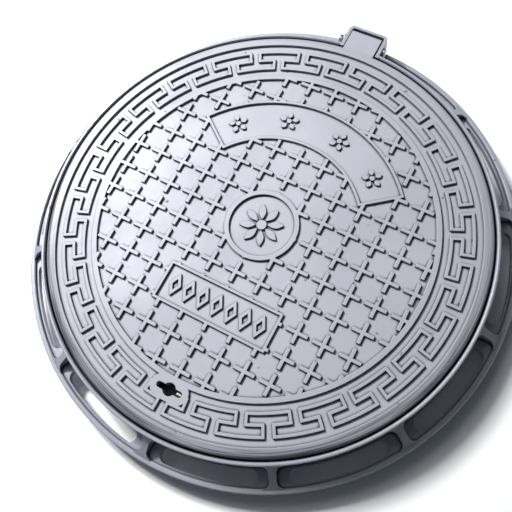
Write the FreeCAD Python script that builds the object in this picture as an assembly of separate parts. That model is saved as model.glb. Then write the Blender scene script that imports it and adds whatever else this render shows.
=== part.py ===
import FreeCAD, Part
import math
import os

# Hinged round manhole cover, 700 mm lid in an 800 mm class frame.
# Frame of the model: millimetres, +Z up, origin at the centre of the base plane.
# The hinge pocket lies at +Y, the key hole of the lock at -Y.

os.makedirs("parts", exist_ok=True)
V = FreeCAD.Vector

# ---------------------------------------------------------------- driving sizes
LID_R = 350.0                     # lid outside radius
FLANGE_REACH = 37.0               # base flange width outside the top ring
TOTAL_H = 80.0                    # base plane to lid top
LID_GAP = 3.0                     # open joint between lid rim and frame, on radius
BODY_GAP = 0.3                    # air between pieces that move past each other
RUN_FIT = 0.08                    # radial running clearance of pins in bores
PRESS_GAP = 0.03                  # radial allowance drawn at driven pins
THREAD_GAP = 0.05                 # radial allowance drawn at threads

# lid relief
RELIEF_H = 4.0                    # height of the cast relief
RIM_W = 16.0                      # plain rim band
KEY_EDGE = 13.7                   # rim band to the outer run of the border ridge
KEY_STEP_OUT = 16.7               # outer run to middle run, centre to centre
KEY_STEP_IN = 16.0                # middle run to inner run
BAND_EDGE = 13.6                  # inner run to the raised band round the field
BAND_W = 8.0
KEY_W = 5.8                       # ridge width at its foot
KEY_UNITS = 24                    # repeats round the lid
KEY_STEM_SHARE = 0.096            # half gap of a run, as a share of one repeat
KEY_ARM_SHARE = 0.404             # half length of a run
CROSS_PITCH = 42.6                # square grid of the tread
CROSS_LEN = 35.0
CROSS_W = 6.0
DRAFT = 0.7                       # wall slope of the relief, per side
MEDAL_IN_R = 51.8
MEDAL_OUT_R = 59.0
ARC_EDGE = 42.0                   # field edge to the arc panel
ARC_W = 72.0                      # arc panel, inner to outer edge
ARC_HALF_DEG = 53.0
PANEL_HALF_X = 98.0               # straight panel outline
PANEL_Y1 = -112.0
PANEL_W = 65.0
BORDER_W = 4.5
MOTIF_DROP = 0.6                  # top of the rosettes and lozenges below the relief top
MEDAL_PETALS = 8
MEDAL_PETAL_L = 26.0
MEDAL_PETAL_W = 11.0
MEDAL_CORE_R = 8.0
ROSETTE_AT_DEG = (-40.0, -14.0, 14.0, 40.0)
ROSETTE_PETALS = 5
ROSETTE_PETAL_L = 11.5
ROSETTE_PETAL_W = 8.0
ROSETTE_CORE_R = 4.0
PETAL_ROOT_GAP = 1.2
LOZENGES = 7
LOZENGE_HALF_X = 10.0
LOZENGE_HALF_Y = 19.0

# lid body
PLATE_T = 9.0
SKIRT_T = 17.0                    # foot of the lid skirt
SKIRT_INSET = 6.0                 # lid edge to the outside of the skirt foot
RIB_T = 8.0
RIB_H = 16.0
RIB_RING_R = 150.0
RIBS = 8
RIM_ROUND_R = 5.0                 # rounded upper edge of the lid
RIM_TAPER = 1.0                   # lid side, drawn in at the plate

# frame body
RING_W = 6.0                      # top ring of the frame
RING_DROP = 2.0                   # top ring below the lid top
WALL_INSET = 1.5                  # wall below the top ring
SPIGOT_H = 20.0                   # wall below the flange, down to the base plane
FLANGE_T = 11.0
LIP_RISE = 5.0                    # raised outer lip above the flange
LIP_W = 8.0
LEDGE_W = 35.0                    # seat ledge inside the wall
LEDGE_T = 8.0
LEDGE_RISE = 2.0                  # seat ledge underside above the flange top
FOOT_T = 5.0                      # wall foot inside the lid bore
CORBEL_H = 9.0                    # brackets under the seat ledge
CORBEL_T = 8.0
EDGE_BREAK = 1.5                  # broken edges of the castings
RING_BREAK = 1.2
ENTRY_BREAK = 2.2                 # lead-in for the lid rim
RING_H = 8.0                      # depth of the top ring
GUSSETS = 12
GUSSET_T = 11.0
GUSSET_DROP = 16.0                # top of the webs below the lid top
GUSSET_FLARE = 9.0
SLOT_MARGIN = 4.0                 # slot to wall and slot to lip
SLOT_HALF_DEG = 11.5
SLOT_SHORTER_DEG = 4.5            # what the two slots beside the hinge pocket lose

# seat gasket
GASKET_SPREAD = 2.0               # gasket wider than the skirt foot, each side
GASKET_T = 4.0

# hinge
HINGE_OUT = 20.5                  # hinge axis outside the lid edge
HINGE_DROP = 13.0                 # hinge axis below the lid top
PIN_R = 6.0
KNUCKLE_R = 10.5
TAB_HALF = 27.0
TAB_REACH = 16.0                  # hinge axis to the tab's end
POCKET_GAP = 2.0                  # air round the swinging tab
POCKET_WALL = 6.0
POCKET_END_WALL = 4.5
POCKET_FLOOR_T = 6.0
POCKET_CORNER_R = 9.0
DRAIN_R = 4.0
PIN_HEAD_R = 9.0
PIN_HEAD_T = 5.0
PIN_TAIL = 10.0
WASHER_T = 2.0
WASHER_R = 11.0
SPLIT_R = 1.3
SPLIT_AT = 3.4                    # washer face to the split pin axis

# lock
LOCK_INSET = 64.0                 # lid edge to the lock axis
KEY_R = 10.0                      # key hole
LOBE_HALF = 21.5
LOBE_W = 9.0
BOSS_HALF_X = 31.0
BOSS_HALF_Y = 17.5
HUB_R = 27.0
HUB_WALL = 4.5
HUB_FLOOR_T = 5.5
HOUSING_WALL = 6.0
HOUSING_LIFT = 3.0                # housing above the seat ledge
HOUSING_FLOOR_T = 4.0
NECK_WALL = 5.5
NECK_H = 7.0
FRICTION_T = 1.5
SPINDLE_R = 9.0
ARM_T = 5.5
ARM_UNDER = 1.5                   # arm below the seat ledge
ARM_BITE = 8.0                    # arm reach past the edge of the ledge
ARM_EYE_WALL = 5.0
ARM_TIP_HALF = 9.0
SQUARE_HALF = 5.5
ARM_SCREW_R = 3.0
ARM_SCREW_AF_R = 5.77
ARM_SCREW_HEAD_H = 3.6
ARM_WASHER_R = 9.5
ARM_WASHER_T = 1.6
TURN_DEG = 90.0                   # travel of the lock
STOP_R = 2.5
STOP_WALL = 2.2                   # hub metal outside the stop groove
STOP_RISE = 3.5                   # stop pin inside the hub floor
DRIVE_R = 3.8
DRIVE_DROP = 5.0                  # drive pin axis below the lid plate
SEAL_T = 3.0
SEAL_DEPTH = 2.0
EAR_R = 8.5
EAR_T = 6.0
EAR_CLEAR = 1.5                   # screw head to housing wall
SCREW_R = 4.0
SCREW_HEAD_H = 5.3
SCREW_AF_R = 7.5
SPRING_WASHER_T = 2.0
SCREW_IN_LID = 7.5

# ---------------------------------------------------------------- sizes that follow
# lid
TOP_Z = TOTAL_H
FLOOR_Z = TOP_Z - RELIEF_H
PLATE_Z = FLOOR_Z - PLATE_T
RIB_Z = PLATE_Z - RIB_H
RIM_IN_R = LID_R - RIM_W
KEY_OUT_R = RIM_IN_R - KEY_EDGE
KEY_MID_R = KEY_OUT_R - KEY_STEP_OUT
KEY_IN_R = KEY_MID_R - KEY_STEP_IN
BAND_OUT_R = KEY_IN_R - BAND_EDGE
BAND_IN_R = BAND_OUT_R - BAND_W
ARC_OUT_R = BAND_IN_R - ARC_EDGE
ARC_IN_R = ARC_OUT_R - ARC_W
PANEL_Y0 = PANEL_Y1 - PANEL_W
SKIRT_OUT_R = LID_R - SKIRT_INSET
SKIRT_IN_R = SKIRT_OUT_R - SKIRT_T

# frame
BORE_R = LID_R + LID_GAP
RING_OUT_R = BORE_R + RING_W
WALL_OUT_R = RING_OUT_R - WALL_INSET
FRAME_R = RING_OUT_R + FLANGE_REACH
LIP_IN_R = FRAME_R - LIP_W
CLEAR_R = BORE_R - LEDGE_W
UNDER_R = BORE_R - FOOT_T
RING_Z = TOP_Z - RING_DROP
FLANGE_Z0 = SPIGOT_H
FLANGE_Z1 = FLANGE_Z0 + FLANGE_T
LIP_Z = FLANGE_Z1 + LIP_RISE
LEDGE_Z0 = FLANGE_Z1 + LEDGE_RISE
GUSSET_TOP_Z = TOP_Z - GUSSET_DROP
LEDGE_Z1 = LEDGE_Z0 + LEDGE_T
SLOT_R0 = WALL_OUT_R + SLOT_MARGIN
SLOT_R1 = LIP_IN_R - SLOT_MARGIN

# gasket
GASKET_IN_R = SKIRT_IN_R - GASKET_SPREAD
GASKET_OUT_R = SKIRT_OUT_R + GASKET_SPREAD
SKIRT_Z = LEDGE_Z1 + GASKET_T + BODY_GAP

# hinge
HINGE_Y = LID_R + HINGE_OUT
HINGE_Z = TOP_Z - HINGE_DROP
TAB_END_Y = HINGE_Y + TAB_REACH
TAB_SWING = math.hypot(TAB_REACH - 1.2, HINGE_DROP - 1.2)
POCKET_IN = TAB_HALF + POCKET_GAP
POCKET_OUT = POCKET_IN + POCKET_WALL
POCKET_Y_IN = HINGE_Y + TAB_SWING + POCKET_GAP
POCKET_Y_OUT = POCKET_Y_IN + POCKET_END_WALL
POCKET_FLOOR_Z = HINGE_Z - TAB_SWING - POCKET_GAP

# lock
LOCK_Y = LOCK_INSET - LID_R
HUB_BORE_R = HUB_R - HUB_WALL
HOUSING_R = HUB_R + HOUSING_WALL
HOUSING_FLOOR_Z = LEDGE_Z1 + HOUSING_LIFT
NECK_R = SPINDLE_R + NECK_WALL
NECK_Z = HOUSING_FLOOR_Z - NECK_H
HUB_Z0 = HOUSING_FLOOR_Z + HOUSING_FLOOR_T + FRICTION_T + RUN_FIT
HUB_FLOOR_Z = HUB_Z0 + HUB_FLOOR_T
HUB_Z1 = PLATE_Z - BODY_GAP
SEAL_Z = HUB_FLOOR_Z - 3.5
STOP_AT_R = HUB_R - STOP_WALL - BODY_GAP - 2 * STOP_R
DRIVE_Z = PLATE_Z - DRIVE_DROP
ARM_Z1 = LEDGE_Z0 - ARM_UNDER
ARM_Z0 = ARM_Z1 - ARM_T
ARM_REACH = CLEAR_R + ARM_BITE + LOCK_Y
ARM_EYE_R = SPINDLE_R + ARM_EYE_WALL
EAR_AT = HOUSING_R + SCREW_AF_R + EAR_CLEAR + 1.0


# ---------------------------------------------------------------- shape helpers
def disc(r, z0, z1, x=0.0, y=0.0):
    return Part.makeCylinder(r, z1 - z0, V(x, y, z0), V(0, 0, 1))


def ring(r0, r1, z0, z1, x=0.0, y=0.0):
    return disc(r1, z0, z1, x, y).cut(disc(r0, z0 - 1.0, z1 + 1.0, x, y))


def box(x0, x1, y0, y1, z0, z1):
    return Part.makeBox(x1 - x0, y1 - y0, z1 - z0, V(x0, y0, z0))


def closed_wire(points, z):
    loop = [V(p[0], p[1], z) for p in points]
    return Part.makePolygon(loop + [loop[0]])


def prism(points, z0, z1):
    return Part.Face(closed_wire(points, z0)).extrude(V(0, 0, z1 - z0))


def tapered(low_points, high_points, z0, z1):
    return Part.makeLoft([closed_wire(low_points, z0), closed_wire(high_points, z1)], True, True)


def turned(points):
    loop = [V(p[0], 0, p[1]) for p in points]
    face = Part.Face(Part.makePolygon(loop + [loop[0]]))
    return face.revolve(V(0, 0, 0), V(0, 0, 1), 360)


def polar(r, deg):
    return (r * math.cos(math.radians(deg)), r * math.sin(math.radians(deg)))


def about_z(shape, deg, x=0.0, y=0.0):
    copy = shape.copy()
    copy.rotate(V(x, y, 0), V(0, 0, 1), deg)
    return copy


def along_x(r, x0, x1, y, z):
    return Part.makeCylinder(r, x1 - x0, V(x0, y, z), V(1, 0, 0))


def stadium(half_x, half_y, z0, z1, x, y):
    core = box(x - half_x + half_y, x + half_x - half_y, y - half_y, y + half_y, z0, z1)
    left = disc(half_y, z0, z1, x - half_x + half_y, y)
    right = disc(half_y, z0, z1, x + half_x - half_y, y)
    return core.fuse([left, right]).removeSplitter()


def hexagon(r, z0, z1, x, y):
    return prism([(x + polar(r, 60 * i)[0], y + polar(r, 60 * i)[1]) for i in range(6)], z0, z1)


def sector(r0, r1, deg0, deg1, z0, z1):
    outer = Part.Arc(V(*polar(r1, deg0), z0), V(*polar(r1, (deg0 + deg1) / 2), z0), V(*polar(r1, deg1), z0))
    inner = Part.Arc(V(*polar(r0, deg1), z0), V(*polar(r0, (deg0 + deg1) / 2), z0), V(*polar(r0, deg0), z0))
    side_a = Part.LineSegment(V(*polar(r1, deg1), z0), V(*polar(r0, deg1), z0))
    side_b = Part.LineSegment(V(*polar(r0, deg0), z0), V(*polar(r1, deg0), z0))
    wire = Part.Wire([e.toShape() for e in (outer, side_a, inner, side_b)])
    return Part.Face(wire).extrude(V(0, 0, z1 - z0))


# ---------------------------------------------------------------- frame casting
def arc_slot(r0, r1, mid_deg, half_deg, z0, z1):
    end_r = (r1 - r0) / 2
    mid_r = (r1 + r0) / 2
    end_deg = half_deg - math.degrees(end_r / mid_r)
    cut = sector(r0, r1, mid_deg - end_deg, mid_deg + end_deg, z0, z1)
    ends = [disc(end_r, z0, z1, *polar(mid_r, mid_deg + s * end_deg)) for s in (-1, 1)]
    return cut.fuse(ends).removeSplitter()


def gusset():
    # upright web between wall and lip, spread into the wall and the lip by round flares
    half = GUSSET_T / 2
    side = prism([(WALL_OUT_R - 3, FLANGE_Z0), (LIP_IN_R + 2, FLANGE_Z0), (LIP_IN_R + 2, LIP_Z),
                  (WALL_OUT_R - 3, GUSSET_TOP_Z)], -30.0, 30.0)
    side.rotate(V(0, 0, 0), V(1, 0, 0), 90)
    reach = half + GUSSET_FLARE
    plan = box(WALL_OUT_R - 3, LIP_IN_R + 2, -reach, reach, -1.0, GUSSET_TOP_Z + 1)
    bite_len = LIP_IN_R - WALL_OUT_R
    for s in (-1, 1):
        bite = box(WALL_OUT_R + 1.0, LIP_IN_R - 0.5, 0, 30.0, -2.0, GUSSET_TOP_Z + 2)
        edges = [e for e in bite.Edges if abs(e.Length - (GUSSET_TOP_Z + 4)) < 0.01
                 and abs(e.BoundBox.YMax) < 0.01]
        bite = bite.makeFillet(min(GUSSET_FLARE, bite_len / 2 - 2), edges)
        if s < 0:
            bite = bite.mirror(V(0, 0, 0), V(0, 1, 0))
        bite.translate(V(0, s * half, 0))
        plan = plan.cut(bite)
    return plan.common(side)


def frame_casting():
    body = turned([
        (CLEAR_R, LEDGE_Z0), (UNDER_R, LEDGE_Z0), (UNDER_R, 0), (WALL_OUT_R, 0), (WALL_OUT_R, FLANGE_Z0),
        (FRAME_R, FLANGE_Z0), (FRAME_R, LIP_Z - EDGE_BREAK), (FRAME_R - EDGE_BREAK, LIP_Z),
        (LIP_IN_R + EDGE_BREAK, LIP_Z), (LIP_IN_R, LIP_Z - EDGE_BREAK), (LIP_IN_R, FLANGE_Z1),
        (WALL_OUT_R, FLANGE_Z1), (WALL_OUT_R, RING_Z - RING_H - 2), (RING_OUT_R, RING_Z - RING_H),
        (RING_OUT_R, RING_Z - RING_BREAK), (RING_OUT_R - RING_BREAK, RING_Z), (BORE_R + ENTRY_BREAK, RING_Z),
        (BORE_R, RING_Z - ENTRY_BREAK), (BORE_R, LEDGE_Z1), (CLEAR_R, LEDGE_Z1)])
    web = gusset()
    webs = [about_z(web, 360.0 / GUSSETS * i) for i in range(GUSSETS) if i != GUSSETS // 4]
    corbel = box(CLEAR_R + 3, UNDER_R + 2, -CORBEL_T / 2, CORBEL_T / 2, LEDGE_Z0 - CORBEL_H, LEDGE_Z0 + 1)
    corbels = [about_z(corbel, 360.0 / GUSSETS * (i + 0.5)) for i in range(GUSSETS)]
    shell = box(-POCKET_OUT, POCKET_OUT, BORE_R - 4, POCKET_Y_OUT, FLANGE_Z0, RING_Z)
    corners = [e for e in shell.Edges if abs(e.Length - RING_Z + FLANGE_Z0) < 0.01
               and e.BoundBox.YMin > POCKET_Y_OUT - 1]
    shell = shell.makeFillet(POCKET_CORNER_R, corners)
    shell = shell.cut(disc(BORE_R - 0.5, LEDGE_Z1, RING_Z + 1).fuse(disc(UNDER_R, -1, LEDGE_Z1)))
    body = body.fuse(webs + corbels + [shell])
    room = box(-POCKET_IN, POCKET_IN, BORE_R - 8, POCKET_Y_IN, POCKET_FLOOR_Z, RING_Z + 5)
    corners = [e for e in room.Edges if abs(e.Length - (RING_Z + 5 - POCKET_FLOOR_Z)) < 0.01
               and e.BoundBox.YMin > POCKET_Y_IN - 1]
    room = room.makeFillet(POCKET_CORNER_R - POCKET_WALL + 1, corners)
    under = box(-POCKET_IN, POCKET_IN, RING_OUT_R + 4, POCKET_Y_IN, FLANGE_Z0 - 1,
                POCKET_FLOOR_Z - POCKET_FLOOR_T)
    drain = disc(DRAIN_R, POCKET_FLOOR_Z - POCKET_FLOOR_T - 2, POCKET_FLOOR_Z + 1, 0, HINGE_Y + 5)
    bore = along_x(PIN_R + RUN_FIT, -POCKET_OUT - 5, POCKET_OUT + 5, HINGE_Y, HINGE_Z)
    cuts = [room, under, drain, bore]
    step = 360.0 / GUSSETS
    for i in range(GUSSETS):
        mid = step * (i + 0.5)
        half = SLOT_HALF_DEG
        if abs(mid - 90) < step:
            # the two slots beside the hinge pocket are shorter
            half = SLOT_HALF_DEG - SLOT_SHORTER_DEG / 2
            mid = mid + (SLOT_SHORTER_DEG / 2 if mid > 90 else -SLOT_SHORTER_DEG / 2)
        cuts.append(arc_slot(SLOT_R0, SLOT_R1, mid, half, FLANGE_Z0 - 1, FLANGE_Z1 + 1))
    return body.cut(cuts).removeSplitter()


# ---------------------------------------------------------------- lid casting
def cross_points(x, y, grow):
    a = CROSS_LEN / 2 + grow
    b = CROSS_W / 2 + grow
    pts = [(a, -b), (a, b), (b, b), (b, a), (-b, a), (-b, b),
           (-a, b), (-a, -b), (-b, -b), (-b, -a), (b, -a), (b, -b)]
    return [(x + p[0], y + p[1]) for p in pts]


def arc_panel_points(grow):
    r1 = ARC_OUT_R + grow
    r0 = ARC_IN_R - grow
    steps = 24
    out = []
    for i in range(steps + 1):
        half = ARC_HALF_DEG + math.degrees(grow / r1)
        out.append(polar(r1, 90 - half + 2 * half * i / steps))
    for i in range(steps + 1):
        half = ARC_HALF_DEG + math.degrees(grow / r0)
        out.append(polar(r0, 90 + half - 2 * half * i / steps))
    return out


def panel_points(grow):
    x = PANEL_HALF_X + grow
    return [(-x, PANEL_Y0 - grow), (x, PANEL_Y0 - grow), (x, PANEL_Y1 + grow), (-x, PANEL_Y1 + grow)]


def border(points_of, foot):
    half = DRAFT / 2
    outside = tapered(points_of(half), points_of(-half), foot, TOP_Z)
    inside = tapered(points_of(-BORDER_W - half), points_of(-BORDER_W + half), foot - 1, TOP_Z + 0.25)
    return outside.cut(inside)


def tread():
    foot = FLOOR_Z - 1
    blocks = []
    n = int(BAND_OUT_R / CROSS_PITCH)
    arm = CROSS_LEN / 2
    field = disc(BAND_IN_R + 1, foot - 1, TOP_Z + 1)
    arc_room = prism(arc_panel_points(-1.0), foot - 1, TOP_Z + 1)
    panel_room = prism(panel_points(-1.0), foot - 1, TOP_Z + 1)
    medal_room = disc(MEDAL_OUT_R - 1, foot - 1, TOP_Z + 1)
    for i in range(-n, n + 1):
        for j in range(-n, n + 1):
            x = i * CROSS_PITCH
            y = j * CROSS_PITCH
            r = math.hypot(x, y)
            if r - arm > BAND_IN_R - 4 or r + arm * 0.6 < MEDAL_IN_R:
                continue
            one = tapered(cross_points(x, y, DRAFT / 2), cross_points(x, y, -DRAFT / 2), foot, TOP_Z)
            if r + arm > BAND_IN_R:
                one = one.common(field)
            if r - arm < MEDAL_OUT_R:
                one = one.cut(medal_room)
            if y > 0 and ARC_IN_R - arm - 6 < r < ARC_OUT_R + arm + 6:
                one = one.cut(arc_room)
            if abs(x) < PANEL_HALF_X + arm + 2 and PANEL_Y0 - arm - 2 < y < PANEL_Y1 + arm + 2:
                one = one.cut(panel_room)
            blocks += [s for s in one.Solids if s.Volume > 60]
    return blocks


def key_path(offset):
    # one side of the winding ridge, offset from its centre line, all the way round
    step = 360.0 / KEY_UNITS
    leg_a = step * KEY_STEM_SHARE
    leg_b = step * KEY_ARM_SHARE
    pts = []

    def run(r, a0, a1, parts):
        for k in range(parts + 1):
            pts.append(polar(r, a0 + (a1 - a0) * k / parts))

    for i in range(KEY_UNITS):
        mid = 90.0 + step / 2 + step * i
        d_in = math.degrees(offset / KEY_IN_R)
        d_mid = math.degrees(offset / KEY_MID_R)
        d_out = math.degrees(offset / KEY_OUT_R)
        lo = KEY_IN_R + offset
        me = KEY_MID_R - offset
        hi = KEY_OUT_R + offset
        run(me, mid - leg_a - d_mid, mid - leg_b - d_mid, 2)
        run(hi, mid - leg_b - d_out, mid + leg_b + d_out, 5)
        run(me, mid + leg_b + d_mid, mid + leg_a + d_mid, 2)
        run(lo, mid + leg_a + d_in, mid + step - leg_a - d_in, 5)
    return pts


def key_border():
    foot = FLOOR_Z - 1
    w = KEY_W / 2
    outside = tapered(key_path(w), key_path(w - DRAFT), foot, TOP_Z)
    inside = tapered(key_path(-w), key_path(-w + DRAFT), foot, TOP_Z)
    return outside.cut(inside)


def petal(length, width, z0, z1, x, y, deg):
    # leaf shape with two pointed ends, lying along its own axis
    pts = []
    n = 8
    for i in range(n + 1):
        t = i / n
        pts.append((length * t, width / 2 * math.sin(math.pi * t)))
    for i in range(n - 1, 0, -1):
        t = i / n
        pts.append((length * t, -width / 2 * math.sin(math.pi * t)))
    leaf = prism(pts, z0, z1)
    leaf.rotate(V(0, 0, 0), V(0, 0, 1), deg)
    leaf.translate(V(x, y, 0))
    return leaf


def rosette(count, length, width, core, x, y, deg, z0, z1):
    out = [disc(core, z0, z1, x, y)]
    for i in range(count):
        turn = deg + 360.0 * i / count
        root_x, root_y = polar(core + PETAL_ROOT_GAP, turn)
        out.append(petal(length, width, z0, z1, x + root_x, y + root_y, turn))
    return out


def lozenge(x, y, share):
    dx = LOZENGE_HALF_X * share
    dy = LOZENGE_HALF_Y * share
    return [(x - dx, y), (x, y - dy), (x + dx, y), (x, y + dy)]


def lid_casting():
    edge = RIM_ROUND_R
    arc = [(LID_R - edge + edge * math.sin(math.radians(a)), TOP_Z - edge + edge * math.cos(math.radians(a)))
           for a in (90, 67.5, 45, 22.5, 0)]
    body = turned([
        (0, PLATE_Z), (SKIRT_IN_R - 2, PLATE_Z), (SKIRT_IN_R, SKIRT_Z), (SKIRT_OUT_R, SKIRT_Z),
        (SKIRT_OUT_R + 3, SKIRT_Z + 4), (LID_R - RIM_TAPER - 2, PLATE_Z - 1), (LID_R - RIM_TAPER, PLATE_Z + 2)] + arc + [
        (RIM_IN_R + DRAFT, TOP_Z), (RIM_IN_R, FLOOR_Z), (BAND_OUT_R + DRAFT, FLOOR_Z), (BAND_OUT_R, TOP_Z),
        (BAND_IN_R, TOP_Z), (BAND_IN_R - DRAFT, FLOOR_Z), (0, FLOOR_Z)])
    foot = FLOOR_Z - 1
    extras = [ring(MEDAL_IN_R, MEDAL_OUT_R, foot, TOP_Z)]
    extras.append(stadium(BOSS_HALF_X, BOSS_HALF_Y, foot, TOP_Z, 0, LOCK_Y))
    extras.append(border(arc_panel_points, foot))
    extras.append(border(panel_points, foot))
    motif_z = TOP_Z - MOTIF_DROP
    extras += rosette(MEDAL_PETALS, MEDAL_PETAL_L, MEDAL_PETAL_W, MEDAL_CORE_R, 0, 0, 180.0 / MEDAL_PETALS,
                      foot, motif_z)
    for deg in ROSETTE_AT_DEG:
        x, y = polar((ARC_OUT_R + ARC_IN_R) / 2, 90 + deg)
        extras += rosette(ROSETTE_PETALS, ROSETTE_PETAL_L, ROSETTE_PETAL_W, ROSETTE_CORE_R, x, y, 90 + deg,
                          foot, motif_z)
    pitch = 2 * (PANEL_HALF_X - LOZENGE_HALF_X - 2) / LOZENGES
    mid_y = (PANEL_Y0 + PANEL_Y1) / 2
    for i in range(LOZENGES):
        x = (i - (LOZENGES - 1) / 2) * pitch
        big = lozenge(x, mid_y, 1.0)
        small = lozenge(x, mid_y, 0.5)
        extras.append(prism(big, foot, motif_z).cut(prism(small, foot - 1, motif_z + 1)))
    ribs = []
    for i in range(RIBS):
        rib = box(RIB_RING_R - 2, SKIRT_IN_R + 2, -RIB_T / 2, RIB_T / 2, RIB_Z, PLATE_Z + 2)
        ribs.append(about_z(rib, 360.0 / RIBS * (i + 0.5)))
    ribs.append(ring(RIB_RING_R - RIB_T / 2, RIB_RING_R + RIB_T / 2, RIB_Z, PLATE_Z + 2))
    # hinge tab with its knuckle
    knuckle = along_x(KNUCKLE_R, -TAB_HALF, TAB_HALF, HINGE_Y, HINGE_Z)
    side = [(LID_R - 8, PLATE_Z + 3), (HINGE_Y, HINGE_Z - 2), (TAB_END_Y - 3, HINGE_Z),
            (TAB_END_Y, HINGE_Z + 3), (TAB_END_Y, TOP_Z - 4), (TAB_END_Y - 1.2, TOP_Z - 1.2),
            (TAB_END_Y - 4, TOP_Z), (LID_R - 8, TOP_Z)]
    loop = [V(-TAB_HALF, p[0], p[1]) for p in side]
    tab = Part.Face(Part.makePolygon(loop + [loop[0]])).extrude(V(2 * TAB_HALF, 0, 0))
    web = box(-TAB_HALF, TAB_HALF, LID_R - 8, HINGE_Y, HINGE_Z - KNUCKLE_R, PLATE_Z + 4)
    web = web.cut(along_x(4.0, -TAB_HALF - 1, TAB_HALF + 1, LID_R + 3, HINGE_Z - KNUCKLE_R))
    body = body.fuse(extras + ribs + [knuckle, tab, web])
    body = body.fuse(key_border())
    body = body.fuse(tread())
    cuts = [along_x(PIN_R + RUN_FIT, -TAB_HALF - 5, TAB_HALF + 5, HINGE_Y, HINGE_Z)]
    cuts.append(disc(KEY_R, PLATE_Z - 5, TOP_Z + 5, 0, LOCK_Y))
    cuts.append(stadium(LOBE_HALF, LOBE_W / 2, PLATE_Z - 5, TOP_Z + 5, 0, LOCK_Y))
    for x, y in ear_centres():
        cuts.append(disc(SCREW_R + THREAD_GAP, PLATE_Z - 1, PLATE_Z + SCREW_IN_LID + 0.5, x, y))
    return body.cut(cuts).removeSplitter()


# ---------------------------------------------------------------- lock pieces
def ear_centres():
    return [(-EAR_AT, LOCK_Y), (EAR_AT, LOCK_Y), (0.0, LOCK_Y + EAR_AT)]


def lock_housing():
    body = disc(HOUSING_R, HOUSING_FLOOR_Z, PLATE_Z, 0, LOCK_Y)
    body = body.fuse(disc(NECK_R, NECK_Z, HOUSING_FLOOR_Z + 1, 0, LOCK_Y))
    for x, y in ear_centres():
        ear = disc(EAR_R, PLATE_Z - EAR_T, PLATE_Z, x, y)
        link = box(min(0, x) - (EAR_R if x == 0 else 0), max(0, x) + (EAR_R if x == 0 else 0),
                   LOCK_Y - (EAR_R if x else 0), y + (EAR_R if x else 0), PLATE_Z - EAR_T, PLATE_Z)
        body = body.fuse([ear, link])
    body = body.cut(disc(HUB_R + RUN_FIT, HOUSING_FLOOR_Z + HOUSING_FLOOR_T, PLATE_Z + 1, 0, LOCK_Y))
    body = body.cut(disc(SPINDLE_R + RUN_FIT, NECK_Z - 1, PLATE_Z, 0, LOCK_Y))
    holes = [disc(SCREW_R + 0.5, PLATE_Z - EAR_T - 1, PLATE_Z + 1, x, y) for x, y in ear_centres()]
    holes.append(disc(STOP_R + PRESS_GAP, HOUSING_FLOOR_Z - 1, HOUSING_FLOOR_Z + HOUSING_FLOOR_T + 1,
                      -STOP_AT_R, LOCK_Y))
    return body.cut(holes).removeSplitter()


def housing_screws():
    out = []
    top = PLATE_Z - EAR_T - SPRING_WASHER_T
    for x, y in ear_centres():
        head = hexagon(SCREW_AF_R, top - SCREW_HEAD_H, top, x, y)
        trim = Part.makeCone(SCREW_AF_R - 1.2, SCREW_AF_R + 3.4, 4.6, V(x, y, top - SCREW_HEAD_H))
        head = head.common(trim.fuse(disc(SCREW_AF_R + 2, top - SCREW_HEAD_H + 2, top, x, y)))
        out.append(head.fuse(disc(SCREW_R, top - 1, PLATE_Z + SCREW_IN_LID, x, y)).removeSplitter())
    return Part.makeCompound(out)


def housing_washers():
    # split spring washers, shown pressed flat with their cut
    out = []
    z0 = PLATE_Z - EAR_T - SPRING_WASHER_T
    for x, y in ear_centres():
        one = ring(SCREW_R + 0.2, SCREW_R + 3.0, z0, PLATE_Z - EAR_T, x, y)
        out.append(one.cut(box(x + 2, x + 9, y - 0.5, y + 0.5, z0 - 1, PLATE_Z)))
    return Part.makeCompound(out)


def stop_pin():
    body = disc(STOP_R, HOUSING_FLOOR_Z, HUB_Z0 + STOP_RISE, -STOP_AT_R, LOCK_Y)
    return body.makeChamfer(0.5, [e for e in body.Edges if e.BoundBox.ZMin > HUB_Z0 + STOP_RISE - 0.1])


def friction_washer():
    # wave washer that keeps the lock from turning by itself
    z0 = HOUSING_FLOOR_Z + HOUSING_FLOOR_T
    return ring(SPINDLE_R + 0.6, SPINDLE_R + 6.0, z0, z0 + FRICTION_T, 0, LOCK_Y)


def lock_hub():
    body = disc(HUB_R, HUB_Z0, HUB_Z1, 0, LOCK_Y).fuse(disc(SPINDLE_R, ARM_Z1, HUB_Z0 + 1, 0, LOCK_Y))
    square = box(-SQUARE_HALF, SQUARE_HALF, LOCK_Y - SQUARE_HALF, LOCK_Y + SQUARE_HALF, ARM_Z0, ARM_Z1 + 1)
    body = body.fuse(square)
    body = body.cut(disc(HUB_BORE_R, HUB_FLOOR_Z, HUB_Z1 + 1, 0, LOCK_Y))
    # groove for the seal and arc groove for the stop pin
    body = body.cut(ring(HUB_R - SEAL_DEPTH, HUB_R + 1, SEAL_Z, SEAL_Z + SEAL_T, 0, LOCK_Y))
    extra = math.degrees((STOP_R + BODY_GAP) / STOP_AT_R)
    arc = sector(STOP_AT_R - STOP_R - BODY_GAP, STOP_AT_R + STOP_R + BODY_GAP,
                 180 - extra, 180 + TURN_DEG + extra, HUB_Z0 - 1, HUB_Z0 + STOP_RISE + 0.5)
    arc.translate(V(0, LOCK_Y, 0))
    body = body.cut(arc)
    body = body.cut(along_x(DRIVE_R + PRESS_GAP, HUB_BORE_R - 2, HUB_R + 2, LOCK_Y, DRIVE_Z))
    body = body.cut(disc(ARM_SCREW_R + THREAD_GAP, ARM_Z0 - 1, ARM_Z1 + 8, 0, LOCK_Y))
    return body.removeSplitter()


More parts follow.
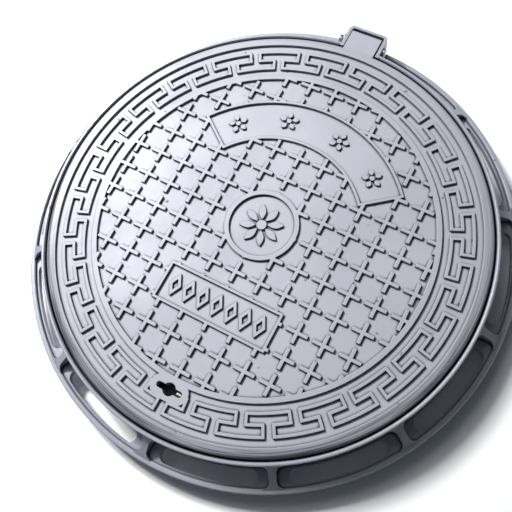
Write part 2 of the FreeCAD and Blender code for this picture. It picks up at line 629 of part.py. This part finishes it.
def hub_seal():
    inner = HUB_R - SEAL_DEPTH + PRESS_GAP
    return ring(inner, HUB_R + PRESS_GAP, SEAL_Z + THREAD_GAP, SEAL_Z + SEAL_T - THREAD_GAP, 0, LOCK_Y)


def drive_pin():
    body = along_x(DRIVE_R, KEY_R - 2, HUB_R - 0.6, LOCK_Y, DRIVE_Z)
    tip = [e for e in body.Edges if e.BoundBox.XMax < KEY_R]
    return body.makeChamfer(0.8, tip)


def lock_arm():
    eye = disc(ARM_EYE_R, ARM_Z0, ARM_Z1, 0, LOCK_Y)
    nose = disc(ARM_TIP_HALF, ARM_Z0, ARM_Z1, ARM_REACH - ARM_TIP_HALF, LOCK_Y)
    tip_x = ARM_REACH - ARM_TIP_HALF
    blade = prism([(0, LOCK_Y - ARM_EYE_R), (tip_x, LOCK_Y - ARM_TIP_HALF), (tip_x, LOCK_Y + ARM_TIP_HALF),
                   (0, LOCK_Y + ARM_EYE_R)], ARM_Z0, ARM_Z1)
    body = eye.fuse([nose, blade]).removeSplitter()
    s = SQUARE_HALF + THREAD_GAP
    return body.cut(box(-s, s, LOCK_Y - s, LOCK_Y + s, ARM_Z0 - 1, ARM_Z1 + 1))


def arm_washer():
    return ring(ARM_SCREW_R + 0.2, ARM_WASHER_R, ARM_Z0 - ARM_WASHER_T, ARM_Z0, 0, LOCK_Y)


def arm_screw():
    top = ARM_Z0 - ARM_WASHER_T
    head = hexagon(ARM_SCREW_AF_R, top - ARM_SCREW_HEAD_H, top, 0, LOCK_Y)
    return head.fuse(disc(ARM_SCREW_R, top - 1, ARM_Z1 + 6, 0, LOCK_Y)).removeSplitter()


# ---------------------------------------------------------------- hinge pieces and gasket
def seat_gasket():
    body = ring(GASKET_IN_R, GASKET_OUT_R, LEDGE_Z1, LEDGE_Z1 + GASKET_T)
    rims = [e for e in body.Edges if e.BoundBox.ZMin > LEDGE_Z1 + GASKET_T - 0.1]
    return body.makeChamfer(1.0, rims)


def hinge_pin():
    shank = along_x(PIN_R, -POCKET_OUT - PIN_TAIL, POCKET_OUT + 1, HINGE_Y, HINGE_Z)
    tail = [e for e in shank.Edges if e.BoundBox.XMax < -POCKET_OUT]
    shank = shank.makeChamfer(1.0, tail)
    head = along_x(PIN_HEAD_R, POCKET_OUT, POCKET_OUT + PIN_HEAD_T, HINGE_Y, HINGE_Z)
    face = [e for e in head.Edges if e.BoundBox.XMin > POCKET_OUT + PIN_HEAD_T - 0.1]
    head = head.makeChamfer(1.2, face)
    hole = disc(SPLIT_R + 0.2, HINGE_Z - 10, HINGE_Z + 10, -POCKET_OUT - WASHER_T - SPLIT_AT, HINGE_Y)
    return shank.fuse(head).cut(hole).removeSplitter()


def hinge_washer():
    outer = along_x(WASHER_R, -POCKET_OUT - WASHER_T, -POCKET_OUT, HINGE_Y, HINGE_Z)
    return outer.cut(along_x(PIN_R + 0.25, -POCKET_OUT - 5, 0, HINGE_Y, HINGE_Z))


def split_pin():
    x = -POCKET_OUT - WASHER_T - SPLIT_AT
    leg = disc(SPLIT_R, HINGE_Z - PIN_R - 2.5, HINGE_Z + PIN_R + 2.2, x, HINGE_Y)
    eye = Part.makeTorus(1.9, 1.0, V(x, HINGE_Y, HINGE_Z + PIN_R + 3.4), V(0, 1, 0))
    body = leg.fuse(eye)
    for s in (-1, 1):
        tail = Part.makeCylinder(0.9, 5.0, V(x, HINGE_Y + 0.3 * s, HINGE_Z - PIN_R - 1.6), V(0, s, -0.5))
        body = body.fuse(tail)
    return body.removeSplitter()


NODES = {
    "frame_casting": frame_casting,
    "seat_gasket": seat_gasket,
    "hinge_pin": hinge_pin,
    "hinge_washer": hinge_washer,
    "hinge_split_pin": split_pin,
    "lid_casting": lid_casting,
    "lock_housing": lock_housing,
    "housing_screws": housing_screws,
    "housing_spring_washers": housing_washers,
    "lock_stop_pin": stop_pin,
    "lock_friction_washer": friction_washer,
    "lock_hub": lock_hub,
    "hub_seal": hub_seal,
    "key_drive_pin": drive_pin,
    "lock_arm": lock_arm,
    "arm_washer": arm_washer,
    "arm_screw": arm_screw,
}

for name, make in NODES.items():
    shape = make()
    print(name, shape.isValid(), len(shape.Solids), round(shape.Volume / 1000.0, 2), "cm3", len(shape.Faces))
    shape.exportStep("parts/" + name + ".step")
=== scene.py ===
import math

import bpy
from mathutils import Matrix, Vector


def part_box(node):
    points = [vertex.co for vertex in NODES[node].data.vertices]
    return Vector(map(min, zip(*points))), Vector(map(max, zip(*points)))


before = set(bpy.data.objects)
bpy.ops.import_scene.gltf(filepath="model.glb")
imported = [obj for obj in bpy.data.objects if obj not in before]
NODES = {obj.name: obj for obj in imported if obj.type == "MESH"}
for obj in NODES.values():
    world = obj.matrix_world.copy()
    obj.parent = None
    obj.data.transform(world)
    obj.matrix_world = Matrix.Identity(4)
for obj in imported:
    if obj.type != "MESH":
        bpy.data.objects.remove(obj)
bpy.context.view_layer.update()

LID_LOW, LID_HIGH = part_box("lid_casting")
LID_TOP = LID_HIGH[2]
LID_RADIUS = (LID_HIGH[0] - LID_LOW[0]) / 2


# ------------------------------------------------------------------ node helpers
def place(tree, kind, spot, **values):
    """One node at a spot, with its properties and unlinked inputs set."""
    node = tree.nodes.new(kind)
    node.location = spot
    for name, value in values.items():
        key = name.replace("_", " ")
        if key.title() in node.inputs:
            node.inputs[key.title()].default_value = value
        else:
            setattr(node, name, value)
    return node


def join(tree, source, target):
    tree.links.new(source, target)


def new_group(name, inputs, outputs):
    """An empty shader group with its sockets, ready for its nodes."""
    group = bpy.data.node_groups.new(name, "ShaderNodeTree")
    for label, kind, value in inputs:
        socket = group.interface.new_socket(name=label, in_out="INPUT", socket_type=kind)
        socket.default_value = value
    for label, kind in outputs:
        group.interface.new_socket(name=label, in_out="OUTPUT", socket_type=kind)
    start = place(group, "NodeGroupInput", (-900, 0))
    end = place(group, "NodeGroupOutput", (900, 0))
    return group, start, end


def use_group(tree, group, spot, **values):
    """One use of a shared group, with the inputs that differ from its own."""
    node = place(tree, "ShaderNodeGroup", spot)
    node.node_tree = group
    for label, value in values.items():
        node.inputs[label.replace("_", " ")].default_value = value
    return node


# ------------------------------------------------------------------ shared effects
WAVE_SHARE = 2.5            # height of the soft waves beside that of the fine grain
PIT_SHAKE = 0.010           # how far noise pulls the pits out of round, in metres
PITS_LEFT_OUT = 0.82        # share of the cells that hold no pit
REFLECTION_STREAKS_ROUND = 1.6         # painted reflection streak noise per radian round the rim
REFLECTION_STREAKS_ACROSS = 260.0      # painted reflection streak noise per metre across the rim


def edge_wear_group():
    """Mask of rubbed outer edges: where the rounded normal leaves the true one, broken up by noise."""
    group, start, end = new_group(
        "edge_wear",
        [("Radius", "NodeSocketFloat", 0.001), ("Break Up", "NodeSocketFloat", 60.0)],
        [("Mask", "NodeSocketFloat"), ("Normal", "NodeSocketVector")])
    rounded = place(group, "ShaderNodeBevel", (-600, 100), samples=4)
    join(group, start.outputs["Radius"], rounded.inputs["Radius"])
    join(group, rounded.outputs["Normal"], end.inputs["Normal"])
    true = place(group, "ShaderNodeNewGeometry", (-600, -100))
    dot = place(group, "ShaderNodeVectorMath", (-400, 0), operation="DOT_PRODUCT")
    join(group, rounded.outputs["Normal"], dot.inputs[0])
    join(group, true.outputs["True Normal"], dot.inputs[1])
    ramp = place(group, "ShaderNodeMapRange", (-200, 0), from_min=0.98, from_max=0.80)
    join(group, dot.outputs["Value"], ramp.inputs["Value"])
    spot = place(group, "ShaderNodeTexCoord", (-600, -300))
    noise = place(group, "ShaderNodeTexNoise", (-400, -300), detail=6.0)
    join(group, spot.outputs["Object"], noise.inputs["Vector"])
    join(group, start.outputs["Break Up"], noise.inputs["Scale"])
    cut = place(group, "ShaderNodeMapRange", (-200, -300), from_min=0.40, from_max=0.62)
    join(group, noise.outputs["Fac"], cut.inputs["Value"])
    both = place(group, "ShaderNodeMath", (100, 0), operation="MULTIPLY")
    join(group, ramp.outputs["Result"], both.inputs[0])
    join(group, cut.outputs["Result"], both.inputs[1])
    join(group, both.outputs["Value"], end.inputs["Mask"])
    return group


def cast_grain_group():
    """Sand-cast skin: fine grain height, soft waves, broad cloudiness and small pits."""
    group, start, end = new_group(
        "cast_grain",
        [("Grain Scale", "NodeSocketFloat", 700.0), ("Cloud Scale", "NodeSocketFloat", 9.0)],
        [("Height", "NodeSocketFloat"), ("Cloud", "NodeSocketFloat"), ("Specks", "NodeSocketFloat")])
    spot = place(group, "ShaderNodeTexCoord", (-900, -200))
    fine = place(group, "ShaderNodeTexNoise", (-600, 200), detail=3.0)
    join(group, start.outputs["Grain Scale"], fine.inputs["Scale"])
    wave = place(group, "ShaderNodeTexNoise", (-600, 0), scale=38.0, detail=2.0)
    cloud = place(group, "ShaderNodeTexNoise", (-600, -200), detail=5.0)
    join(group, start.outputs["Cloud Scale"], cloud.inputs["Scale"])
    pits = place(group, "ShaderNodeTexVoronoi", (-600, -400), feature="F1", scale=46.0)
    for node in (fine, wave, cloud):
        join(group, spot.outputs["Object"], node.inputs["Vector"])
    shake = place(group, "ShaderNodeTexNoise", (-1100, -450), scale=130.0)
    join(group, spot.outputs["Object"], shake.inputs["Vector"])
    shift = place(group, "ShaderNodeVectorMath", (-900, -450), operation="MULTIPLY_ADD")
    shift.inputs[1].default_value = (PIT_SHAKE, PIT_SHAKE, PIT_SHAKE)
    join(group, shake.outputs["Color"], shift.inputs[0])
    join(group, spot.outputs["Object"], shift.inputs[2])
    join(group, shift.outputs[0], pits.inputs["Vector"])
    dots = place(group, "ShaderNodeMapRange", (-350, -400), from_min=0.15, from_max=0.06)
    join(group, pits.outputs["Distance"], dots.inputs["Value"])
    thin = place(group, "ShaderNodeMath", (-350, -600), operation="GREATER_THAN")
    thin.inputs[1].default_value = PITS_LEFT_OUT
    split = place(group, "ShaderNodeSeparateColor", (-500, -600))
    join(group, pits.outputs["Color"], split.inputs["Color"])
    join(group, split.outputs["Red"], thin.inputs[0])
    few = place(group, "ShaderNodeMath", (-150, -450), operation="MULTIPLY")
    join(group, dots.outputs["Result"], few.inputs[0])
    join(group, thin.outputs["Value"], few.inputs[1])
    soft = place(group, "ShaderNodeMath", (-350, 0), operation="MULTIPLY")
    soft.inputs[1].default_value = WAVE_SHARE
    join(group, wave.outputs["Fac"], soft.inputs[0])
    total = place(group, "ShaderNodeMath", (-150, 100), operation="ADD")
    join(group, fine.outputs["Fac"], total.inputs[0])
    join(group, soft.outputs["Value"], total.inputs[1])
    lower = place(group, "ShaderNodeMath", (100, 100), operation="SUBTRACT")
    join(group, total.outputs["Value"], lower.inputs[0])
    join(group, few.outputs["Value"], lower.inputs[1])
    join(group, lower.outputs["Value"], end.inputs["Height"])
    join(group, cloud.outputs["Fac"], end.inputs["Cloud"])
    join(group, few.outputs["Value"], end.inputs["Specks"])
    return group


def crevice_grime_and_shade_group():
    """Mask of grime and painted shade in inner corners, from ambient occlusion."""
    group, start, end = new_group(
        "crevice_grime_and_shade", [("Reach", "NodeSocketFloat", 0.006)], [("Mask", "NodeSocketFloat")])
    shut = place(group, "ShaderNodeAmbientOcclusion", (-400, 0), samples=8)
    join(group, start.outputs["Reach"], shut.inputs["Distance"])
    ramp = place(group, "ShaderNodeMapRange", (-150, 0), from_min=0.90, from_max=0.55)
    join(group, shut.outputs["AO"], ramp.inputs["Value"])
    join(group, ramp.outputs["Result"], end.inputs["Mask"])
    return group


EDGE_WEAR = edge_wear_group()
CAST_GRAIN = cast_grain_group()
CREVICE_GRIME_AND_SHADE = crevice_grime_and_shade_group()


def rim_shade_and_reflection_group():
    """Masks of painted shade on the lid's outer band and of painted dark reflection streaks round it,
    strongest at the front and faint toward the hinge.
    """
    group, start, end = new_group(
        "rim_shade_and_reflections",
        [("Inner", "NodeSocketFloat", 0.33), ("Outer", "NodeSocketFloat", 0.345),
         ("End", "NodeSocketFloat", 0.35)],
        [("Band", "NodeSocketFloat"), ("Mask", "NodeSocketFloat")])
    spot = place(group, "ShaderNodeTexCoord", (-1300, 0))
    axes = place(group, "ShaderNodeSeparateXYZ", (-1100, 0))
    join(group, spot.outputs["Object"], axes.inputs[0])
    flat = place(group, "ShaderNodeCombineXYZ", (-900, 100))
    join(group, axes.outputs["X"], flat.inputs["X"])
    join(group, axes.outputs["Y"], flat.inputs["Y"])
    reach = place(group, "ShaderNodeVectorMath", (-700, 100), operation="LENGTH")
    join(group, flat.outputs[0], reach.inputs[0])
    turn = place(group, "ShaderNodeMath", (-900, -150), operation="ARCTAN2")
    join(group, axes.outputs["Y"], turn.inputs[0])
    join(group, axes.outputs["X"], turn.inputs[1])
    wide = place(group, "ShaderNodeMath", (-700, -150), operation="MULTIPLY")
    wide.inputs[1].default_value = REFLECTION_STREAKS_ROUND
    join(group, turn.outputs[0], wide.inputs[0])
    near = place(group, "ShaderNodeMath", (-700, -350), operation="MULTIPLY")
    near.inputs[1].default_value = REFLECTION_STREAKS_ACROSS
    join(group, reach.outputs["Value"], near.inputs[0])
    polar = place(group, "ShaderNodeCombineXYZ", (-500, -200))
    join(group, wide.outputs[0], polar.inputs["X"])
    join(group, near.outputs[0], polar.inputs["Y"])
    noise = place(group, "ShaderNodeTexNoise", (-300, -200), scale=1.6, detail=4.0)
    join(group, polar.outputs[0], noise.inputs["Vector"])
    # Painted dark reflection streaks along the rim.
    reflection_streak = place(group, "ShaderNodeMapRange", (-100, -200), from_min=0.40, from_max=0.58)
    join(group, noise.outputs["Fac"], reflection_streak.inputs["Value"])
    shade_band = place(group, "ShaderNodeMapRange", (-300, 150), interpolation_type="SMOOTHSTEP")
    join(group, reach.outputs["Value"], shade_band.inputs["Value"])
    join(group, start.outputs["Inner"], shade_band.inputs["From Min"])
    join(group, start.outputs["Outer"], shade_band.inputs["From Max"])
    inside = place(group, "ShaderNodeMath", (-300, 350), operation="LESS_THAN")
    join(group, reach.outputs["Value"], inside.inputs[0])
    join(group, start.outputs["End"], inside.inputs[1])
    # Painted shade strongest at the front of the lid, faint toward the hinge.
    front_shade = place(group, "ShaderNodeMapRange", (-500, 500), interpolation_type="SMOOTHSTEP",
                  from_min=0.30, from_max=-0.15, to_min=0.12)
    join(group, axes.outputs["Y"], front_shade.inputs["Value"])
    whole = place(group, "ShaderNodeMath", (-300, 500), operation="MULTIPLY")
    join(group, front_shade.outputs["Result"], whole.inputs[0])
    join(group, inside.outputs[0], whole.inputs[1])
    ring = place(group, "ShaderNodeMath", (-100, 250), operation="MULTIPLY")
    join(group, shade_band.outputs["Result"], ring.inputs[0])
    join(group, whole.outputs[0], ring.inputs[1])
    both = place(group, "ShaderNodeMath", (100, 0), operation="MULTIPLY")
    join(group, ring.outputs[0], both.inputs[0])
    join(group, reflection_streak.outputs["Result"], both.inputs[1])
    join(group, ring.outputs[0], end.inputs["Band"])
    join(group, both.outputs[0], end.inputs["Mask"])
    return group


RIM_SHADE_AND_REFLECTIONS = rim_shade_and_reflection_group()


# ------------------------------------------------------------------ materials
# Tones of each iron: dark cloud, light cloud, rubbed edge, and a near-black for casting pits and for grime
# with painted shade in corners.
LID_TONES = ((0.315, 0.32, 0.365, 1), (0.455, 0.46, 0.515, 1),
             (0.66, 0.67, 0.70, 1), (0.004, 0.005, 0.009, 1))
FRAME_TONES = ((0.29, 0.305, 0.355, 1), (0.41, 0.425, 0.485, 1),
               (0.70, 0.71, 0.74, 1), (0.006, 0.006, 0.009, 1))
LOCK_TONES = ((0.05, 0.05, 0.055, 1), (0.10, 0.10, 0.11, 1),
              (0.35, 0.35, 0.36, 1), (0.01, 0.01, 0.01, 1))
# Painted shade for the lid's outer band, and painted dark reflection streaks on it.
RIM_PAINTED_SHADE = (0.18, 0.19, 0.225, 1)
RIM_REFLECTION_STREAK = (0.06, 0.065, 0.08, 1)
RIM_START = 0.945           # shares of the lid's radius
RIM_FULL = 0.985
RIM_END = 1.001
ZINC_DARK = (0.50, 0.50, 0.48, 1)
ZINC_LIGHT = (0.66, 0.66, 0.64, 1)
ZINC_WORN = (0.8, 0.8, 0.8, 1)
# Grime with painted shade for the corners of the zinc parts.
ZINC_GRIME_AND_SHADE = (0.05, 0.045, 0.04, 1)
RUBBER_BLACK = (0.012, 0.012, 0.013, 1)
RUBBER_BLOOM = (0.06, 0.06, 0.062, 1)
RUBBER_WORN = (0.12, 0.12, 0.12, 1)


def mix_colour(tree, factor, first, second, spot):
    """Blend of two colours; the factor and the colours may be values or sockets."""
    node = place(tree, "ShaderNodeMix", spot, data_type="RGBA")
    for value, socket in ((factor, node.inputs[0]), (first, node.inputs[6]), (second, node.inputs[7])):
        if isinstance(value, bpy.types.NodeSocket):
            join(tree, value, socket)
        else:
            socket.default_value = value
    return node.outputs[2]


def ranged(tree, source, low, high, spot):
    """A mask from 0 to 1, stretched to run from low to high."""
    node = place(tree, "ShaderNodeMapRange", spot, to_min=low, to_max=high)
    join(tree, source, node.inputs["Value"])
    return node.outputs["Result"]


def cast_iron(name, tones, metallic, smooth, rough, bump, wear_amount):
    """Lacquered cast iron: cloudy colour, rubbed edges, corners darkened with grime and painted shade, and
    a sand-cast grain.
    """
    dark, light, worn, pit_and_shade_dark = tones
    material = bpy.data.materials.new(name)
    material.use_nodes = True
    tree = material.node_tree
    shader = tree.nodes["Principled BSDF"]
    shader.inputs["Metallic"].default_value = metallic
    skin = use_group(tree, CAST_GRAIN, (-900, 200))
    wear = use_group(tree, EDGE_WEAR, (-900, -100), Radius=0.0011)
    corner_grime_and_shade = use_group(tree, CREVICE_GRIME_AND_SHADE, (-900, -300), Reach=0.0055)
    cloudy = ranged(tree, skin.outputs["Cloud"], 0.0, 1.0, (-650, 300))
    base = mix_colour(tree, cloudy, dark, light, (-450, 300))
    speck = ranged(tree, skin.outputs["Specks"], 0.0, 0.7, (-650, 100))
    base = mix_colour(tree, speck, base, pit_and_shade_dark, (-300, 250))
    rub = ranged(tree, wear.outputs["Mask"], 0.0, wear_amount, (-650, -100))
    base = mix_colour(tree, rub, base, worn, (-150, 200))
    # Grime and painted shade darken the inner corners.
    dirt_and_shade = ranged(tree, corner_grime_and_shade.outputs["Mask"], 0.0, 0.9, (-650, -300))
    base = mix_colour(tree, dirt_and_shade, base, pit_and_shade_dark, (0, 150))
    join(tree, base, shader.inputs["Base Color"])
    join(tree, ranged(tree, skin.outputs["Cloud"], rough, smooth, (-150, -50)), shader.inputs["Roughness"])
    relief = place(tree, "ShaderNodeBump", (-150, -300), strength=bump, distance=0.0003)
    join(tree, skin.outputs["Height"], relief.inputs["Height"])
    join(tree, wear.outputs["Normal"], relief.inputs["Normal"])
    join(tree, relief.outputs["Normal"], shader.inputs["Normal"])
    return material


def lid_iron():
    """Lid casting: pale lacquer, with a glossier band round its outer edge that carries painted shade and
    painted dark reflection streaks.
    """
    material = cast_iron("lid_lacquered_iron", LID_TONES,
                         metallic=0.15, smooth=0.42, rough=0.60, bump=0.35, wear_amount=0.25)
    tree = material.node_tree
    shader = tree.nodes["Principled BSDF"]
    rim = use_group(tree, RIM_SHADE_AND_REFLECTIONS, (-900, -500), Inner=LID_RADIUS * RIM_START,
                    Outer=LID_RADIUS * RIM_FULL, End=LID_RADIUS * RIM_END)
    base = shader.inputs["Base Color"].links[0].from_socket
    rough = shader.inputs["Roughness"].links[0].from_socket
    # Painted shade on the outer band.
    shade_band = ranged(tree, rim.outputs["Band"], 0.0, 0.45, (150, 450))
    base = mix_colour(tree, shade_band, base, RIM_PAINTED_SHADE, (300, 350))
    # Painted dark reflection streaks round the band.
    reflection_streak = ranged(tree, rim.outputs["Mask"], 0.0, 0.9, (300, 550))
    base = mix_colour(tree, reflection_streak, base, RIM_REFLECTION_STREAK, (450, 350))
    join(tree, base, shader.inputs["Base Color"])
    gloss = place(tree, "ShaderNodeMath", (300, -50), operation="MULTIPLY")
    join(tree, rough, gloss.inputs[0])
    join(tree, ranged(tree, rim.outputs["Band"], 1.0, 0.55, (150, -200)), gloss.inputs[1])
    join(tree, gloss.outputs[0], shader.inputs["Roughness"])
    return material


def frame_iron():
    """Frame casting: smoother and more rubbed than the lid."""
    return cast_iron("frame_lacquered_iron", FRAME_TONES,
                     metallic=0.25, smooth=0.34, rough=0.48, bump=0.5, wear_amount=0.6)


def lock_iron():
    """Dark iron of the lock, rougher and without lacquer."""
    return cast_iron("lock_dark_iron", LOCK_TONES,
                     metallic=0.4, smooth=0.45, rough=0.6, bump=0.6, wear_amount=0.6)


def zinc_steel():
    """Zinc-plated steel with fine turned lines and dull spots."""
    material = bpy.data.materials.new("zinc_plated_steel")
    material.use_nodes = True
    tree = material.node_tree
    shader = tree.nodes["Principled BSDF"]
    shader.inputs["Metallic"].default_value = 1.0
    spot = place(tree, "ShaderNodeTexCoord", (-1100, 0))
    stretch = place(tree, "ShaderNodeMapping", (-900, 0), scale=(1.0, 1.0, 12.0))
    join(tree, spot.outputs["Object"], stretch.inputs["Vector"])
    lines = place(tree, "ShaderNodeTexNoise", (-700, 0), scale=300.0, detail=3.0)
    join(tree, stretch.outputs["Vector"], lines.inputs["Vector"])
    wear = use_group(tree, EDGE_WEAR, (-900, -300), Radius=0.0005)
    corner_grime_and_shade = use_group(tree, CREVICE_GRIME_AND_SHADE, (-900, -500), Reach=0.003)
    base = mix_colour(tree, lines.outputs["Fac"], ZINC_DARK, ZINC_LIGHT, (-450, 200))
    base = mix_colour(tree, wear.outputs["Mask"], base, ZINC_WORN, (-300, 150))
    # Grime and painted shade darken the inner corners.
    dirt_and_shade = ranged(tree, corner_grime_and_shade.outputs["Mask"], 0.0, 0.7, (-650, -500))
    base = mix_colour(tree, dirt_and_shade, base, ZINC_GRIME_AND_SHADE, (-150, 100))
    join(tree, base, shader.inputs["Base Color"])
    join(tree, ranged(tree, lines.outputs["Fac"], 0.25, 0.45, (-150, -50)), shader.inputs["Roughness"])
    relief = place(tree, "ShaderNodeBump", (-150, -300), strength=0.2, distance=0.0001)
    join(tree, lines.outputs["Fac"], relief.inputs["Height"])
    join(tree, relief.outputs["Normal"], shader.inputs["Normal"])
    return material


def seat_rubber():
    """Black rubber with a chalky bloom."""
    material = bpy.data.materials.new("seat_rubber")
    material.use_nodes = True
    tree = material.node_tree
    shader = tree.nodes["Principled BSDF"]
    skin = use_group(tree, CAST_GRAIN, (-900, 200), Grain_Scale=1500.0, Cloud_Scale=30.0)
    wear = use_group(tree, EDGE_WEAR, (-900, -100), Radius=0.0006)
    bloom = ranged(tree, skin.outputs["Cloud"], 0.0, 0.5, (-650, 200))
    base = mix_colour(tree, bloom, RUBBER_BLACK, RUBBER_BLOOM, (-450, 200))
    base = mix_colour(tree, wear.outputs["Mask"], base, RUBBER_WORN, (-250, 150))
    join(tree, base, shader.inputs["Base Color"])
    join(tree, ranged(tree, skin.outputs["Cloud"], 0.6, 0.85, (-250, -50)), shader.inputs["Roughness"])
    relief = place(tree, "ShaderNodeBump", (-250, -300), strength=0.3, distance=0.0002)
    join(tree, skin.outputs["Height"], relief.inputs["Height"])
    join(tree, relief.outputs["Normal"], shader.inputs["Normal"])
    return material


def dress(material, *names):
    """Give one material to every slot of the named pieces."""
    for name in names:
        slots = NODES[name].material_slots
        if not slots:
            NODES[name].data.materials.append(material)
        for slot in slots:
            slot.link = "OBJECT"
            slot.material = material


dress(lid_iron(), "lid_casting")
dress(frame_iron(), "frame_casting")
dress(lock_iron(), "lock_housing", "lock_hub")
dress(zinc_steel(), "hinge_pin", "hinge_washer", "hinge_split_pin", "housing_screws",
      "housing_spring_washers", "lock_stop_pin", "lock_friction_washer", "key_drive_pin", "lock_arm",
      "arm_washer", "arm_screw")
dress(seat_rubber(), "seat_gasket", "hub_seal")


# ------------------------------------------------------------------ stage
FLOOR_HALF = 9.0
FLOOR_TONE = (0.95, 0.95, 0.95, 1)
BORDER_RADIUS = LID_RADIUS * 334 / 350
AZIMUTH = math.radians(47.5)
ELEVATION = math.radians(69.26)
ROLL = math.radians(-20.38)
SENSOR = 36.0
FOCAL_SHARE = 1.2565        # focal length over sensor width
DISTANCE = 3.003 * BORDER_RADIUS
OFFSET = (0.0253 * BORDER_RADIUS, 0.1468 * BORDER_RADIUS)
KEY_PLACE = (-1.55, 1.75, 2.3)      # along the view's side and top, laid flat, and up
KEY_SPREAD = math.radians(6.0)
KEY_WIDTH = 0.36
FAR_STRENGTH = 1.75
NEAR_WATTS = 88.0
SHEEN_PLACE = (-1.1, 1.9, 3.2)
SHEEN_WIDTH = 2.4
SHEEN_WATTS = 36.0
SKY_DIM = (0.10, 0.14, 0.22, 1)
SKY_BRIGHT = (0.84, 0.92, 1.0, 1)
SKY_STRENGTH = 0.17
BACKDROP = (0.93, 0.93, 0.94, 1)


def floor():
    """Pale matt floor, wide enough to reach behind the object in every view."""
    mesh = bpy.data.meshes.new("floor")
    corners = [(x * FLOOR_HALF, y * FLOOR_HALF, 0) for x, y in ((-1, -1), (1, -1), (1, 1), (-1, 1))]
    mesh.from_pydata(corners, [], [(0, 1, 2, 3)])
    plane = bpy.data.objects.new("floor", mesh)
    bpy.context.scene.collection.objects.link(plane)
    material = bpy.data.materials.new("pale_floor")
    material.use_nodes = True
    shader = material.node_tree.nodes["Principled BSDF"]
    shader.inputs["Base Color"].default_value = FLOOR_TONE
    shader.inputs["Roughness"].default_value = 0.95
    mesh.materials.append(material)


def camera():
    """Looks down on the lid from the front, turned so that the hinge is at the upper right."""
    data = bpy.data.cameras.new("camera")
    data.sensor_width = SENSOR
    data.lens = data.sensor_width * FOCAL_SHARE
    data.clip_start = 0.02
    data.clip_end = 50.0
    flat = math.cos(ELEVATION)
    away = Vector((math.sin(AZIMUTH) * flat, -math.cos(AZIMUTH) * flat, math.sin(ELEVATION)))
    level = Vector((math.cos(AZIMUTH), math.sin(AZIMUTH), 0))
    upward = away.cross(level)
    side = level * math.cos(ROLL) + upward * math.sin(ROLL)
    top = upward * math.cos(ROLL) - level * math.sin(ROLL)
    spot = Vector((0, 0, LID_TOP)) + away * DISTANCE - side * OFFSET[0] - top * OFFSET[1]
    turn = Matrix((side, top, away)).transposed().to_4x4()
    eye = bpy.data.objects.new("camera", data)
    eye.matrix_world = Matrix.Translation(spot) @ turn
    bpy.context.scene.collection.objects.link(eye)
    bpy.context.scene.camera = eye
    return side, top


def lamp(name, spot, size, power):
    """Round lamp that faces the middle of the object."""
    data = bpy.data.lights.new(name, "AREA")
    data.shape = "DISK"
    data.size = size
    data.energy = power
    light = bpy.data.objects.new(name, data)
    turn = (-spot).to_track_quat("-Z", "Y").to_matrix().to_4x4()
    light.matrix_world = Matrix.Translation(spot) @ turn
    bpy.context.scene.collection.objects.link(light)


def sky(toward):
    """Pale backdrop to the eye; as a light, brightest toward the key and dim on the far side."""
    world = bpy.data.worlds.new("sky")
    world.use_nodes = True
    tree = world.node_tree
    shine = tree.nodes["Background"]
    spot = place(tree, "ShaderNodeTexCoord", (-900, 0))
    dot = place(tree, "ShaderNodeVectorMath", (-700, 0), operation="DOT_PRODUCT")
    dot.inputs[1].default_value = toward
    join(tree, spot.outputs["Generated"], dot.inputs[0])
    ramp = place(tree, "ShaderNodeMapRange", (-500, 0), from_min=0.0)
    join(tree, dot.outputs["Value"], ramp.inputs["Value"])
    colour = mix_colour(tree, ramp.outputs["Result"], SKY_DIM, SKY_BRIGHT, (-300, 0))
    join(tree, colour, shine.inputs["Color"])
    shine.inputs["Strength"].default_value = SKY_STRENGTH
    backdrop = place(tree, "ShaderNodeBackground", (0, -200), color=BACKDROP)
    seen = place(tree, "ShaderNodeLightPath", (0, 300))
    both = place(tree, "ShaderNodeMixShader", (250, 0))
    join(tree, seen.outputs["Is Camera Ray"], both.inputs[0])
    join(tree, shine.outputs[0], both.inputs[1])
    join(tree, backdrop.outputs[0], both.inputs[2])
    join(tree, both.outputs[0], tree.nodes["World Output"].inputs["Surface"])
    bpy.context.scene.world = world


def sun(name, spot, spread, strength):
    """Even hard light over the whole floor, like a lamp a long way off."""
    data = bpy.data.lights.new(name, "SUN")
    data.angle = spread
    data.energy = strength
    light = bpy.data.objects.new(name, data)
    light.matrix_world = spot.to_track_quat("Z", "Y").to_matrix().to_4x4()
    bpy.context.scene.collection.objects.link(light)


def lights(side, top):
    """Key light from the upper left of the view, a broad lamp above it for sheen, and a pale sky."""
    flat_side = Vector((side.x, side.y, 0)).normalized()
    flat_top = Vector((top.x, top.y, 0)).normalized()

    def spot_at(along, across, up):
        return flat_side * along + flat_top * across + Vector((0, 0, up))

    key_spot = spot_at(*KEY_PLACE)
    sun("far_key", key_spot, KEY_SPREAD, FAR_STRENGTH)
    lamp("near_key", key_spot, KEY_WIDTH, NEAR_WATTS)
    lamp("sheen", spot_at(*SHEEN_PLACE), SHEEN_WIDTH, SHEEN_WATTS)
    sky(key_spot.normalized())


bpy.context.scene.view_settings.view_transform = "Standard"
floor()
lights(*camera())
